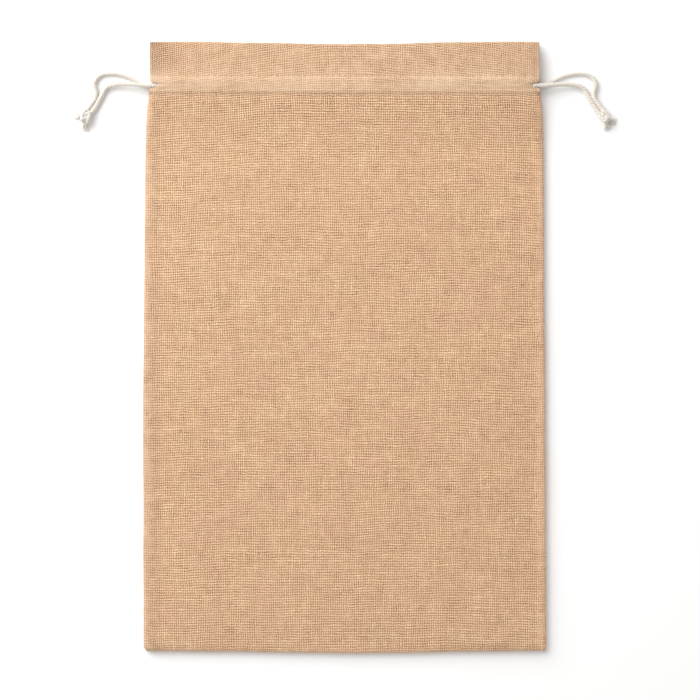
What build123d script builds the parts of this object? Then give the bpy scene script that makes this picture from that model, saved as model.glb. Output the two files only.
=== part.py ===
from build123d import *
import math
import os

# Drawstring gift pouch in open-weave jute, lying flat on its back.
# Frame: origin under the middle of the pouch, +X right, +Y towards the mouth, +Z up. Millimetres.

# Driving sizes
WIDTH = 300.0
HEIGHT = 457.8
HEADER_WIDTH = 289.6
THICKNESS = 14.0
CLOTH = 0.6
CORD = 3.0
TUNNEL = 3.6

# Places along Y
Y_BOTTOM = -HEIGHT / 2
Y_TOP = HEIGHT / 2
Y_ROW_LOW = 189.0
Y_ROW_HIGH = 203.4
Y_FREE_LANE = 196.2
Y_FIXED_LANE = 192.8
HEM_LOW = 183.0
NOTCH_LOW = 190.9
NOTCH_HIGH = 198.4
NOTCH_DEPTH = 11.0
NOTCH_CORNER = 2.0

# Heights of the layers, from the floor up
RIM_GAP = 0.3
FRONT_RIM = THICKNESS / 2 + RIM_GAP / 2
BACK_RIM = THICKNESS / 2 - RIM_GAP / 2
BACK_LANE = CLOTH + TUNNEL / 2
FRONT_LANE = THICKNESS - BACK_LANE
SIDE_RADIUS = 6.0
CORNER_RADIUS = 7.0

# Seam allowances, hems and stitches
ALLOWANCE = 8.0
ALLOWANCE_THICKNESS = 1.6
EDGE_TO_SEAM = 1.0
EDGE_TO_THREAD = 3.5
SEAM_TO_NOTCH = 1.5
SIDE_SEAM_START = 9.5
BOTTOM_SEAM_SPAN = 284.0
HEM_SPAN = 276.0
EDGE_TO_FOLD = 0.4
ROW_TO_SLOPE = 1.0
SLOPE = 1.6
BEND = 0.4
THREAD = 0.5
THREAD_INSET = 1.0

# Cords: where the moving run begins, where the fixed run begins and the turn in the notch
RUN_OUTER = 140.5
RUN_SPLIT = 74.0
RUN_MIDDLE = 4.0
GAP = 0.3
KNOT_LENGTH = 8.0
KNOT_RADIUS = 3.8
KNOT_ROUNDING = 0.7
TAIL_SUNK = 0.6
ARC_SHARE = 0.45

# How far a cutting tool reaches past what it cuts
REACH = 5.0

# Free strands of the left cord, from the notch to the knot
LEFT_FRONT_ROUTE = [
    (-140.5, Y_FREE_LANE, FRONT_LANE),
    (-149.6, Y_FREE_LANE, FRONT_LANE),
    (-158.6, 197.3, 6.4),
    (-168.5, 197.8, 3.6),
    (-179.0, 196.2, 2.3),
    (-182.9, 188.2, 1.7),
    (-186.7, 180.9, 2.1),
    (-190.9, 175.3, 3.1),
]
LEFT_BACK_ROUTE = [
    (-140.5, Y_FREE_LANE, BACK_LANE),
    (-150.5, Y_FREE_LANE, BACK_LANE),
    (-164.6, 205.0, 1.7),
    (-182.0, 206.4, 1.7),
    (-189.3, 199.0, 1.7),
    (-185.4, 189.6, 1.7),
    (-190.4, 182.4, 2.3),
    (-193.8, 177.3, 3.3),
]
LEFT_KNOT = (-194.0, 173.0, 4.2)
LEFT_TAIL_TIPS = [(-202.6, 173.0, 1.7), (-194.2, 163.6, 1.7)]

# Free strands of the right cord
RIGHT_FRONT_ROUTE = [
    (140.5, Y_FREE_LANE, FRONT_LANE),
    (149.6, Y_FREE_LANE, FRONT_LANE),
    (158.6, 197.2, 6.4),
    (168.8, 197.6, 3.6),
    (179.2, 195.9, 2.3),
    (182.9, 188.1, 1.7),
    (187.4, 180.2, 2.1),
    (191.4, 175.0, 3.1),
]
RIGHT_BACK_ROUTE = [
    (140.5, Y_FREE_LANE, BACK_LANE),
    (150.5, Y_FREE_LANE, BACK_LANE),
    (164.0, 204.8, 1.7),
    (181.6, 206.6, 1.7),
    (189.5, 199.2, 1.7),
    (185.3, 189.6, 1.7),
    (190.6, 181.9, 2.3),
    (194.2, 177.4, 3.3),
]
RIGHT_KNOT = (194.8, 173.2, 4.2)
RIGHT_TAIL_TIPS = [(202.8, 170.2, 1.7), (195.4, 163.6, 1.7)]


def slab(width, y_low, y_high, z_low, z_high, x=0.0):
    """A box across the pouch, from y_low to y_high and from z_low to z_high."""
    middle = Pos(x, (y_low + y_high) / 2, (z_low + z_high) / 2)
    return middle * Box(width, y_high - y_low, z_high - z_low)


def pillow_half(inset, z_rim, z_face):
    """One half of the pouch's outline, as a shallow tray with round edges and a square mouth end."""
    width = WIDTH - 2 * inset
    y_low = Y_BOTTOM + inset
    y_high = Y_TOP + (REACH if inset else 0.0)
    body = slab(width, y_low, y_high, min(z_rim, z_face), max(z_rim, z_face))
    upright = body.edges().filter_by(Axis.Z).group_by(Axis.Y)[0]
    body = fillet(upright, CORNER_RADIUS - inset)
    face = body.faces().sort_by(Axis.Z)[-1 if z_face > z_rim else 0]
    mouth_edge = face.edges().sort_by(Axis.Y)[-1]
    rim = [edge for edge in face.edges() if edge.center() != mouth_edge.center()]
    return fillet(rim, SIDE_RADIUS - inset)


def side_cuts():
    """What both panels lose at each side: the narrower header above the notch, and the notch itself."""
    cuts = []
    step = (WIDTH - HEADER_WIDTH) / 2
    z_low = -REACH
    z_high = THICKNESS + REACH
    for side in (-1, 1):
        outside = side * (WIDTH / 2 + REACH)
        header = slab(2 * (step + REACH), NOTCH_HIGH, Y_TOP + REACH, z_low, z_high, outside)
        notch = slab(2 * (NOTCH_DEPTH + REACH), NOTCH_LOW, NOTCH_HIGH, z_low, z_high, outside)
        inner = notch.edges().filter_by(Axis.Z).sort_by(lambda edge: side * edge.center().X)[:2]
        cuts += [header, fillet(inner, NOTCH_CORNER)]
    return cuts


def panel(front):
    """One of the two cloth panels: a hollow half pillow, open at the mouth and notched for the cords."""
    if front:
        outer = pillow_half(0.0, FRONT_RIM, THICKNESS)
        inner = pillow_half(CLOTH, FRONT_RIM - CLOTH, THICKNESS - CLOTH)
    else:
        outer = pillow_half(0.0, BACK_RIM, 0.0)
        inner = pillow_half(CLOTH, BACK_RIM + CLOTH, CLOTH)
    shell = outer - inner
    for cut in side_cuts():
        shell -= cut
    return shell.solids().sort_by(SortBy.VOLUME)[-1]


def hem(front):
    """The turned-down facing, sewn flat above and below the cord channel and standing off over it."""
    flat = CLOTH
    stand_off = CLOTH + TUNNEL
    low = flat + CLOTH
    y_low = Y_ROW_LOW + ROW_TO_SLOPE
    y_high = Y_ROW_HIGH - ROW_TO_SLOPE
    profile = [
        (HEM_LOW, flat),
        (y_low, flat),
        (y_low + SLOPE, stand_off),
        (y_high - SLOPE, stand_off),
        (y_high, flat),
        (Y_TOP - EDGE_TO_FOLD, flat),
        (Y_TOP - EDGE_TO_FOLD, low),
        (y_high + BEND, low),
        (y_high - SLOPE + BEND, stand_off + CLOTH),
        (y_low + SLOPE - BEND, stand_off + CLOTH),
        (y_low - BEND, low),
        (HEM_LOW, low),
    ]
    if front:
        profile = [(y, THICKNESS - z) for y, z in profile]
    outline = Plane.YZ * make_face(Polyline(*profile, close=True))
    strip = extrude(outline, HEM_SPAN / 2, both=True)
    return strip.solids()[0]


def side_seam(side):
    """The two panels' seam allowances, sewn together and turned to the inside along one side."""
    z_low = THICKNESS / 2 - ALLOWANCE_THICKNESS / 2
    x_outer = WIDTH / 2 - EDGE_TO_SEAM
    x = side * (x_outer - ALLOWANCE / 2)
    y_low = Y_BOTTOM + SIDE_SEAM_START
    y_high = NOTCH_LOW - SEAM_TO_NOTCH
    return slab(ALLOWANCE, y_low, y_high, z_low, z_low + ALLOWANCE_THICKNESS, x)


def bottom_seam():
    """The bottom allowance, turned to the inside between the two side allowances."""
    z_low = THICKNESS / 2 - ALLOWANCE_THICKNESS / 2
    y_low = Y_BOTTOM + EDGE_TO_SEAM
    return slab(BOTTOM_SEAM_SPAN, y_low, y_low + ALLOWANCE, z_low, z_low + ALLOWANCE_THICKNESS)


def channel_stitching(front):
    """The two rows of thread that close the cord channel on one panel, on the inside face of its hem."""
    z_low = THICKNESS - 2 * CLOTH - THREAD if front else 2 * CLOTH
    rows = []
    for y in (Y_ROW_LOW, Y_ROW_HIGH):
        rows.append(slab(HEM_SPAN - 2 * THREAD_INSET, y - THREAD / 2, y + THREAD / 2, z_low, z_low + THREAD))
    return Compound(children=rows)


def side_stitching(side):
    """The thread that joins the allowances of one side, along their upper face."""
    z_low = THICKNESS / 2 + ALLOWANCE_THICKNESS / 2
    x = side * (WIDTH / 2 - EDGE_TO_THREAD)
    seam = side_seam(side).bounding_box()
    y_low = seam.min.Y + THREAD_INSET
    y_high = seam.max.Y - THREAD_INSET
    return slab(THREAD, y_low, y_high, z_low, z_low + THREAD, x)


def bottom_stitching():
    """The thread that joins the bottom allowances, along their upper face."""
    z_low = THICKNESS / 2 + ALLOWANCE_THICKNESS / 2
    y = Y_BOTTOM + EDGE_TO_THREAD
    span = BOTTOM_SEAM_SPAN - 2 * THREAD_INSET
    return slab(span, y - THREAD / 2, y + THREAD / 2, z_low, z_low + THREAD)


def channel_run(x_from, x_to, y, z):
    """A straight run of cord inside a channel."""
    length = abs(x_to - x_from)
    return Pos((x_from + x_to) / 2, y, z) * Rot(0, 90, 0) * Cylinder(CORD / 2, length)


def bight(side):
    """Where a cord comes out of one channel, turns round in the notch and goes back into the other."""
    x = side * RUN_OUTER
    radius = (FRONT_LANE - BACK_LANE) / 2
    middle = (x + side * radius, Y_FIXED_LANE, THICKNESS / 2)
    path = ThreePointArc((x, Y_FIXED_LANE, BACK_LANE), middle, (x, Y_FIXED_LANE, FRONT_LANE))
    start = Plane(origin=path @ 0, z_dir=path % 0)
    return sweep(start * Circle(CORD / 2), path=path)


def route_radii(points):
    """The largest tangent arcs that the runs of a route allow, one for each corner."""
    radii = []
    for before, corner, after in zip(points, points[1:], points[2:]):
        arriving = Vector(*corner) - Vector(*before)
        leaving = Vector(*after) - Vector(*corner)
        half_turn = math.radians(arriving.get_angle(leaving)) / 2
        shorter = min(arriving.length, leaving.length)
        radii.append(ARC_SHARE * shorter / math.tan(half_turn))
    return radii


def free_strand(name, points):
    """A round cord along straight runs that tangent arcs join."""
    radii = route_radii(points)
    path = FilletPolyline(*points, radius=radii)
    start = Plane(origin=path @ 0, z_dir=path % 0)
    tube = sweep(start * Circle(CORD / 2), path=path)
    expected = math.pi * (CORD / 2) ** 2 * path.length
    print(name, "least radius", round(min(radii) / CORD, 1), "diameters")
    print(name, "length", round(path.length, 1), "volume over expected", round(tube.volume / expected, 4))
    return tube


def knot(centre, front_end, back_end):
    """The overhand knot that ties both strands together: a round bead turned along the strands."""
    arriving = (Vector(*front_end) + Vector(*back_end)) * 0.5
    middle = Vector(*centre)
    along = (middle - arriving).normalized()
    section = Plane(origin=middle - along * KNOT_LENGTH / 2, z_dir=along)
    bead = extrude(section * Circle(KNOT_RADIUS), KNOT_LENGTH)
    return fillet(bead.edges(), KNOT_RADIUS * KNOT_ROUNDING)


def tail(centre, tip):
    """A short cut end of one strand, from the knot to the floor."""
    start = Vector(*centre)
    end = Vector(*tip)
    along = (end - start).normalized()
    inside = KNOT_RADIUS - TAIL_SUNK
    section = Plane(origin=start + along * inside, z_dir=along)
    return extrude(section * Circle(CORD / 2), (end - start).length - inside)


def drawcord(name, side, front_route, back_route, knot_centre, tail_tips):
    """All the pieces of one drawcord: its free end at this side, and its turn at the other side."""
    knot_bead = knot(knot_centre, front_route[-1], back_route[-1])
    front_tail = tail(knot_centre, tail_tips[0]) - knot_bead
    back_tail = tail(knot_centre, tail_tips[1]) - knot_bead
    front_fixed = (-side * RUN_OUTER, -side * RUN_MIDDLE, Y_FIXED_LANE, FRONT_LANE)
    back_fixed = (-side * RUN_OUTER, -side * RUN_MIDDLE, Y_FIXED_LANE, BACK_LANE)
    x_outer = side * (RUN_OUTER - GAP)
    x_split = side * RUN_SPLIT
    front_middle = (side * (RUN_SPLIT - GAP), side * RUN_MIDDLE, Y_FREE_LANE, FRONT_LANE)
    back_middle = (side * (RUN_SPLIT - GAP), side * RUN_MIDDLE, Y_FREE_LANE, BACK_LANE)
    return {
        f"{name}_cord_front_strand": free_strand(f"{name} front strand", front_route) - knot_bead,
        f"{name}_cord_back_strand": free_strand(f"{name} back strand", back_route) - knot_bead,
        f"{name}_cord_knot": knot_bead,
        f"{name}_cord_front_tail": front_tail,
        f"{name}_cord_back_tail": back_tail,
        f"{name}_cord_front_run": channel_run(x_outer, x_split, Y_FREE_LANE, FRONT_LANE),
        f"{name}_cord_back_run": channel_run(x_outer, x_split, Y_FREE_LANE, BACK_LANE),
        f"{name}_cord_front_middle": channel_run(*front_middle),
        f"{name}_cord_back_middle": channel_run(*back_middle),
        f"{name}_cord_front_far_run": channel_run(*front_fixed),
        f"{name}_cord_back_far_run": channel_run(*back_fixed),
        f"{name}_cord_bight": bight(-side),
    }


def pouch():
    """Every piece of the pouch, by its name."""
    pieces = {
        "front_panel": panel(True),
        "back_panel": panel(False),
        "front_hem": hem(True),
        "back_hem": hem(False),
        "left_side_seam": side_seam(-1),
        "right_side_seam": side_seam(1),
        "bottom_seam": bottom_seam(),
        "front_channel_stitching": channel_stitching(True),
        "back_channel_stitching": channel_stitching(False),
        "left_side_stitching": side_stitching(-1),
        "right_side_stitching": side_stitching(1),
        "bottom_stitching": bottom_stitching(),
    }
    pieces.update(drawcord("left", -1, LEFT_FRONT_ROUTE, LEFT_BACK_ROUTE, LEFT_KNOT, LEFT_TAIL_TIPS))
    pieces.update(drawcord("right", 1, RIGHT_FRONT_ROUTE, RIGHT_BACK_ROUTE, RIGHT_KNOT, RIGHT_TAIL_TIPS))
    return pieces


os.makedirs("parts", exist_ok=True)
for node, shape in pouch().items():
    export_step(shape, f"parts/{node}.step")
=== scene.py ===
import math
import random

import bpy
import numpy as np
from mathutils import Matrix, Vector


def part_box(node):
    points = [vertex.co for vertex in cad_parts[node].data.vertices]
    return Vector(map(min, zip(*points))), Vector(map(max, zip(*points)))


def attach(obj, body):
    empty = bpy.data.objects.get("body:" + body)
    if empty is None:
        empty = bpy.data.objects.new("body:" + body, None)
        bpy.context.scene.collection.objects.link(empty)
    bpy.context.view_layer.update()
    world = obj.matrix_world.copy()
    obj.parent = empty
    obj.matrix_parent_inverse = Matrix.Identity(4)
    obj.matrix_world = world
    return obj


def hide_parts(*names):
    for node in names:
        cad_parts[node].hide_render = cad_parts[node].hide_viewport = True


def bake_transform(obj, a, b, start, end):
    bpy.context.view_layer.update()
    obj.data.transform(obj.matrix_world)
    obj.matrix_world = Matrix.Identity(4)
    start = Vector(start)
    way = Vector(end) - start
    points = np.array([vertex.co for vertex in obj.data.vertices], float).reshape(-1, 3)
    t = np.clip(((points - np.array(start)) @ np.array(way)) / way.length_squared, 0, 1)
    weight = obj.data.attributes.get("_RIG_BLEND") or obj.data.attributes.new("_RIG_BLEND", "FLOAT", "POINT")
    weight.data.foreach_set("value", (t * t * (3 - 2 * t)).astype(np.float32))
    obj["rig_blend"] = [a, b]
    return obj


# A drawstring gift pouch in open-weave jute, lying flat on a white floor.
# Lengths in this script are millimetres in the shared frame, and MM turns them into metres.

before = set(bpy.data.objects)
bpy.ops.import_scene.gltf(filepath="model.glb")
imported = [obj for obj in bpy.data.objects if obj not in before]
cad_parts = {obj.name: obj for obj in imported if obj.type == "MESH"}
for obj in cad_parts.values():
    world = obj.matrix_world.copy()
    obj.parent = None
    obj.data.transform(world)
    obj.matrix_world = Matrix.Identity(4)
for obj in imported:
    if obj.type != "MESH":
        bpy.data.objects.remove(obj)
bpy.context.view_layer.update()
MM = 0.001


def box_mm(node):
    """Lowest and highest corner of a CAD node, in millimetres."""
    low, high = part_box(node)
    return np.array(low) / MM, np.array(high) / MM


# Places read from the frame
front_low, front_high = box_mm("front_panel")
seam_low, _ = box_mm("left_side_seam")
hem_low, hem_high = box_mm("front_hem")
rows_low, rows_high = box_mm("front_channel_stitching")
run_low, run_high = box_mm("left_cord_front_run")
HALF_WIDTH = front_high[0]
BOTTOM = front_low[1]
TOP = front_high[1]
HEM_LOW = hem_low[1]
HEM_HALF_SPAN = hem_high[0]
THREAD = rows_high[2] - rows_low[2]
ROW_LOW = rows_low[1] + THREAD / 2
ROW_HIGH = rows_high[1] - THREAD / 2
CORD = run_high[1] - run_low[1]
FREE_LANE = (run_low[1] + run_high[1]) / 2
FIXED_LANE = sum(box_mm("left_cord_bight")[i][1] for i in (0, 1)) / 2
BACK_LANE_Z = sum(box_mm("left_cord_back_run")[i][2] for i in (0, 1)) / 2
NOTCH_X = -run_low[0]
SPLIT_X = -run_high[0]

# The camera's view at the height of the cloth's sides, and its lens
VIEW_WIDTH = 523.6
VIEW_X = 3.9
VIEW_Y = -1.5
VIEW_LEVEL = 6.0
LENS = 100.0
SENSOR = 36.0

# Light and floor, in metres
SKY = (1.0, 0.99, 0.98, 1.0)
SKY_STRENGTH = 0.64
FLOOR_REACH = 3.0
FLOOR_Z = -0.00005

# Layers of cloth, from the floor up
CLOTH = 0.75
SEAM_Z = 3.0
EDGE_Z = 6.2
CROWN = 0.9
CROWN_REACH = 34.0
CHANNEL_Z = 10.4
RIDGE = 0.8
ROW_DIP = 0.12
HEADER_DROP = 0.4
FRONT_LANE_Z = CHANNEL_Z - CLOTH - CORD / 2 - 0.05
FOLD_RADIUS = 0.85
HEM_DROP = 2.35

# Where the sides begin to lie open, over what length, and where the rows begin to bend with the bottom edge
OPEN_FROM = 188.0
OPEN_OVER = 3.5
LOW_BEND_FROM = -120.0

# Allowances of the seams, inside the pouch
ALLOWANCE = 8.0
ALLOWANCE_Z = SEAM_Z - 0.5
LAYER_STEP = CLOTH + 0.05

# Weave
WARP_PITCH = 1.64
WEFT_PITCH = 1.87
WANDER = 2.2
JITTER = 0.75
NEXT_THREAD = 3.71
SLOW = 0.035
SLUB = 0.16
SIDE_SHADE = 0.80
SEAM_BAND = (141.5, 147.0)
OPEN_CORNER = (-118.0, -140.0)
# Painted shade: between these x the left edge, which tilts towards the key light, is darkened
SHADED_LEFT_EDGE = (-136.0, -146.0)

# Stitches
STITCH_PITCH = 4.2
STITCH_LENGTH = 3.3
STITCH_RADIUS = 0.3

# Outlines as (y, half width from the middle line): the sides, the notch and the header above it
LEFT_OUTLINE = [(BOTTOM, 150.6), (-110.0, 150.9), (-38.0, 151.2), (36.0, 150.2), (111.0, 149.8)]
RIGHT_OUTLINE = [(BOTTOM, 150.9), (-110.0, 150.4), (-38.0, 149.9), (36.0, 149.3), (111.0, 149.2)]
SHOULDER = [(165.0, 148.8), (182.0, 147.8), (189.7, 146.4), (193.6, 145.6)]
NOTCH = [(194.4, 142.6), (195.6, 138.8), (196.8, 138.8), (197.8, 142.0)]
HEADER = [(198.6, 144.8), (200.0, 145.3), (TOP, 145.3)]
LOWER_CORNERS = {-1: 4.2, 1: 2.6}

# Loose fibres: how far out they stand, and the part round each notch without any on the face
FIBRE_REACH = 142.0
NOTCH_CLEAR_X = 136.0
NOTCH_CLEAR_Y = (188.0, 204.0)

# Routes of the four free strands, from the notch to the knot
LEFT_FRONT_ROUTE = [
    (-140.5, 196.2, FRONT_LANE_Z),
    (-149.6, 196.2, 7.2),
    (-158.6, 197.3, 6.0),
    (-168.5, 197.8, 3.6),
    (-179.0, 196.2, 2.3),
    (-182.9, 188.2, 1.7),
    (-186.7, 180.9, 2.1),
    (-190.9, 175.3, 3.1),
]
LEFT_BACK_ROUTE = [
    (-140.5, 196.2, BACK_LANE_Z),
    (-150.5, 196.2, BACK_LANE_Z),
    (-164.6, 205.0, 1.7),
    (-182.0, 206.4, 1.7),
    (-189.3, 199.0, 1.7),
    (-185.4, 189.6, 1.7),
    (-190.4, 182.4, 2.3),
    (-193.8, 177.3, 3.3),
]
RIGHT_FRONT_ROUTE = [
    (140.5, 196.2, FRONT_LANE_Z),
    (149.6, 196.2, 7.2),
    (158.6, 197.2, 6.0),
    (168.8, 197.6, 3.6),
    (179.2, 195.9, 2.3),
    (182.9, 188.1, 1.7),
    (187.4, 180.2, 2.1),
    (191.4, 175.0, 3.1),
]
RIGHT_BACK_ROUTE = [
    (140.5, 196.2, BACK_LANE_Z),
    (150.5, 196.2, BACK_LANE_Z),
    (164.0, 204.8, 1.7),
    (181.6, 206.6, 1.7),
    (189.5, 199.2, 1.7),
    (185.3, 189.6, 1.7),
    (190.6, 181.9, 2.3),
    (194.2, 177.4, 3.3),
]
STRAND_THICKNESS = {"front": 1.15, "back": 0.88}
KNOT_SPREAD = 1.3
LAY_LENGTH = 7.2
FRAY_LENGTH = 4.2


# ---- camera and light

def add_object(name, data):
    """A new object in the scene."""
    made = bpy.data.objects.new(name, data)
    bpy.context.scene.collection.objects.link(made)
    return made


def make_camera():
    """Straight above, with the pouch a little left of the middle."""
    data = bpy.data.cameras.new("camera")
    data.lens = LENS
    data.sensor_width = SENSOR
    data.clip_end = 20.0
    camera = add_object("camera", data)
    height = VIEW_WIDTH * LENS / SENSOR + VIEW_LEVEL
    camera.location = (VIEW_X * MM, VIEW_Y * MM, height * MM)
    bpy.context.scene.camera = camera


def make_area_light(name, place, size, power):
    """A square soft light that looks at the pouch."""
    data = bpy.data.lights.new(name, "AREA")
    data.size = size
    data.energy = power
    light = add_object(name, data)
    light.location = place
    light.rotation_euler = (-light.location).to_track_quat("-Z", "Y").to_euler()


def make_studio():
    """A white floor, an even sky and a soft key from the upper left."""
    scene = bpy.context.scene
    scene.view_settings.view_transform = "Standard"
    scene.view_settings.look = "None"
    world = bpy.data.worlds.new("studio")
    scene.world = world
    world.use_nodes = True
    background = world.node_tree.nodes["Background"]
    background.inputs["Color"].default_value = SKY
    background.inputs["Strength"].default_value = SKY_STRENGTH
    make_area_light("key", place=(-1.15, 1.2, 1.1), size=2.0, power=56.0)
    corners = [(-1, -1), (1, -1), (1, 1), (-1, 1)]
    data = bpy.data.meshes.new("floor")
    data.from_pydata([(x * FLOOR_REACH, y * FLOOR_REACH, FLOOR_Z) for x, y in corners], [], [(0, 1, 2, 3)])
    floor = add_object("floor", data)
    floor.data.materials.append(plain_material("floor_white", (0.93, 0.93, 0.93), 0.9))


def plain_material(name, colour, roughness):
    """A material of one colour, for the floor."""
    material = bpy.data.materials.new(name)
    material.use_nodes = True
    shader = material.node_tree.nodes["Principled BSDF"]
    shader.inputs["Base Color"].default_value = (*colour, 1.0)
    shader.inputs["Roughness"].default_value = roughness
    shader.inputs["Specular IOR Level"].default_value = 0.1
    return material


# ---- node helpers

class Nodes:
    """Short calls that add nodes to one material and link them."""

    def __init__(self, name):
        self.material = bpy.data.materials.new(name)
        self.material.use_nodes = True
        self.tree = self.material.node_tree
        self.shader = self.tree.nodes["Principled BSDF"]

    def add(self, kind, **settings):
        node = self.tree.nodes.new(kind)
        for key, value in settings.items():
            setattr(node, key, value)
        return node

    def feed(self, socket, value):
        if isinstance(value, bpy.types.NodeSocket):
            self.tree.links.new(value, socket)
        elif isinstance(value, tuple) and len(value) == 3 and socket.type == "RGBA":
            socket.default_value = (*value, 1.0)
        else:
            socket.default_value = value

    def math(self, operation, *values, clamp=False):
        node = self.add("ShaderNodeMath", operation=operation, use_clamp=clamp)
        for socket, value in zip(node.inputs, values):
            self.feed(socket, value)
        return node.outputs[0]

    def plus(self, first, second):
        return self.math("ADD", first, second)

    def minus(self, first, second, clamp=False):
        return self.math("SUBTRACT", first, second, clamp=clamp)

    def times(self, first, second):
        return self.math("MULTIPLY", first, second)

    def combine(self, x, y, z=0.0):
        node = self.add("ShaderNodeCombineXYZ")
        for socket, value in zip(node.inputs, (x, y, z)):
            self.feed(socket, value)
        return node.outputs[0]

    def separate(self, vector):
        node = self.add("ShaderNodeSeparateXYZ")
        self.feed(node.inputs[0], vector)
        return node.outputs

    def noise(self, vector, scale, detail=2.0, roughness=0.5):
        node = self.add("ShaderNodeTexNoise")
        self.feed(node.inputs["Vector"], vector)
        node.inputs["Scale"].default_value = scale
        node.inputs["Detail"].default_value = detail
        node.inputs["Roughness"].default_value = roughness
        return node.outputs["Fac"]

    def span(self, value, low, high, to_low=0.0, to_high=1.0):
        node = self.add("ShaderNodeMapRange")
        for socket, number in zip(node.inputs, (value, low, high, to_low, to_high)):
            self.feed(socket, number)
        return node.outputs[0]

    def mix(self, share, first, second, blend="MIX"):
        node = self.add("ShaderNodeMix", data_type="RGBA", blend_type=blend)
        self.feed(node.inputs["Factor"], share)
        self.feed(node.inputs[6], first)
        self.feed(node.inputs[7], second)
        return node.outputs[2]

    def pick(self, share, first, second):
        """first where share is 1, and second where it is 0."""
        rest = self.minus(1.0, share)
        return self.plus(self.times(share, first), self.times(rest, second))

    def bump(self, height, distance, strength):
        node = self.add("ShaderNodeBump")
        node.inputs["Distance"].default_value = distance
        node.inputs["Strength"].default_value = strength
        self.feed(node.inputs["Height"], height)
        self.feed(self.shader.inputs["Normal"], node.outputs[0])

    def finish(self, colour, roughness, sheen):
        self.feed(self.shader.inputs["Base Color"], colour)
        self.feed(self.shader.inputs["Roughness"], roughness)
        self.shader.inputs["Specular IOR Level"].default_value = 0.18
        self.shader.inputs["Sheen Weight"].default_value = sheen
        self.shader.inputs["Sheen Roughness"].default_value = 0.6
        return self.material


# ---- materials

# Colours of the jute, and three colours of painted shade: at the sides of the threads, in the gaps between
# them, and over the header and the left edge
STRAW = (0.965, 0.660, 0.420)
HONEY = (0.985, 0.720, 0.447)
ROSE = (0.905, 0.576, 0.388)
DULL = (0.700, 0.500, 0.350)
TAN = (0.690, 0.433, 0.257)
LIGHT_TAN = (0.731, 0.469, 0.283)
BLOND = (0.95, 0.74, 0.52)
PALE = (0.930, 0.740, 0.540)
THREAD_SIDE_SHADE = (0.400, 0.205, 0.100)
PORE_SHADE = (0.170, 0.075, 0.035)
PAINTED_SHADE = (0.100, 0.070, 0.050)

# Threads: light and dark colour, how fine their streaks are, and how much light goes into their fibres
THREADS = {
    "jute_thread": ((0.72, 0.48, 0.31), (0.50, 0.31, 0.18), 3200.0, 0.0),
    "jute_fibre": ((0.80, 0.59, 0.40), (0.60, 0.40, 0.25), 2600.0, 0.0),
    "cotton_cord": ((0.78, 0.725, 0.655), (0.66, 0.605, 0.53), 3000.0, 0.25),
    # The loose fibres of the cut ends: the cord's cotton painted lighter, to make up for the shade that the
    # many thin fibres cast on each other
    "lit_cotton_fibre": ((0.95, 0.91, 0.85), (0.90, 0.85, 0.78), 3000.0, 0.0),
}


def bell(n, value, middle, reach):
    """1 at middle, falling to 0 at reach on both sides."""
    away = n.math("ABSOLUTE", n.minus(value, middle))
    return n.span(away, 0.0, reach, 1.0, 0.0)


def jute_threads(n, uv):
    """Height, shade, tone and fibre streaks of the two sets of threads, from the weave map in millimetres."""
    u, v, _ = n.separate(uv)
    wander_u = n.span(n.noise(uv, 0.02, 3.0), 0.0, 1.0, -WANDER, WANDER)
    wander_v = n.span(n.noise(n.combine(v, u, 7.0), 0.02, 3.0), 0.0, 1.0, -WANDER, WANDER)
    jitter_u = n.span(n.noise(n.combine(u, v, 31.0), 0.26, 3.0), 0.0, 1.0, -JITTER, JITTER)
    jitter_v = n.span(n.noise(n.combine(u, v, 57.0), 0.26, 3.0), 0.0, 1.0, -JITTER, JITTER)
    a = n.math("DIVIDE", n.plus(u, n.plus(wander_u, jitter_u)), WARP_PITCH)
    b = n.math("DIVIDE", n.plus(v, n.plus(wander_v, jitter_v)), WEFT_PITCH)
    warp_number = n.times(n.math("ROUND", a), NEXT_THREAD)
    weft_number = n.times(n.math("ROUND", b), NEXT_THREAD)
    slow_u = n.times(u, SLOW)
    slow_v = n.times(v, SLOW)
    warp_tone = n.noise(n.combine(warp_number, slow_v), 1.0, 3.0, 0.6)
    weft_tone = n.noise(n.combine(slow_u, weft_number, 11.0), 1.0, 3.0, 0.6)
    warp_slub = n.noise(n.combine(warp_number, n.times(v, SLUB), 23.0), 1.0, 1.0)
    weft_slub = n.noise(n.combine(n.times(u, SLUB), weft_number, 41.0), 1.0, 1.0)
    cos_a = n.math("COSINE", n.times(a, math.pi))
    cos_b = n.math("COSINE", n.times(b, math.pi))
    warp_round = n.minus(n.math("ABSOLUTE", cos_a), n.span(warp_slub, 0.3, 0.7, 0.3, 0.0))
    weft_round = n.minus(n.math("ABSOLUTE", cos_b), n.span(weft_slub, 0.3, 0.7, 0.3, 0.0))
    over = n.times(n.times(cos_a, cos_b), 0.3)
    warp_height = n.plus(warp_round, over)
    weft_height = n.minus(weft_round, over)
    warp_on_top = n.math("GREATER_THAN", warp_height, weft_height)
    along_warp = n.noise(n.combine(n.times(u, 6.0), v), 1.0, 3.0, 0.7)
    along_weft = n.noise(n.combine(u, n.times(v, 6.0), 5.0), 1.0, 3.0, 0.7)
    height = n.math("MAXIMUM", warp_height, weft_height)
    # Painted shade: threads are darker at their sides, and darkest in the valleys between them, where shade
    # would fall
    warp_side = n.times(n.minus(1.0, n.math("ABSOLUTE", cos_a)), SIDE_SHADE)
    weft_side = n.times(n.minus(1.0, n.math("ABSOLUTE", cos_b)), SIDE_SHADE)
    uneven = n.noise(n.combine(u, v, 77.0), 0.17, 2.0, 0.6)
    warp_side = n.times(warp_side, n.span(uneven, 0.32, 0.68, 0.25, 1.35))
    weft_side = n.times(weft_side, n.span(uneven, 0.32, 0.68, 1.35, 0.45))
    warp_light = n.minus(1.0, warp_side)
    weft_light = n.minus(1.0, weft_side)
    shade = n.minus(1.0, n.times(warp_light, weft_light), clamp=True)
    tone = n.pick(warp_on_top, warp_tone, weft_tone)
    fibre = n.pick(warp_on_top, along_warp, along_weft)
    return height, shade, tone, fibre


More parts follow.
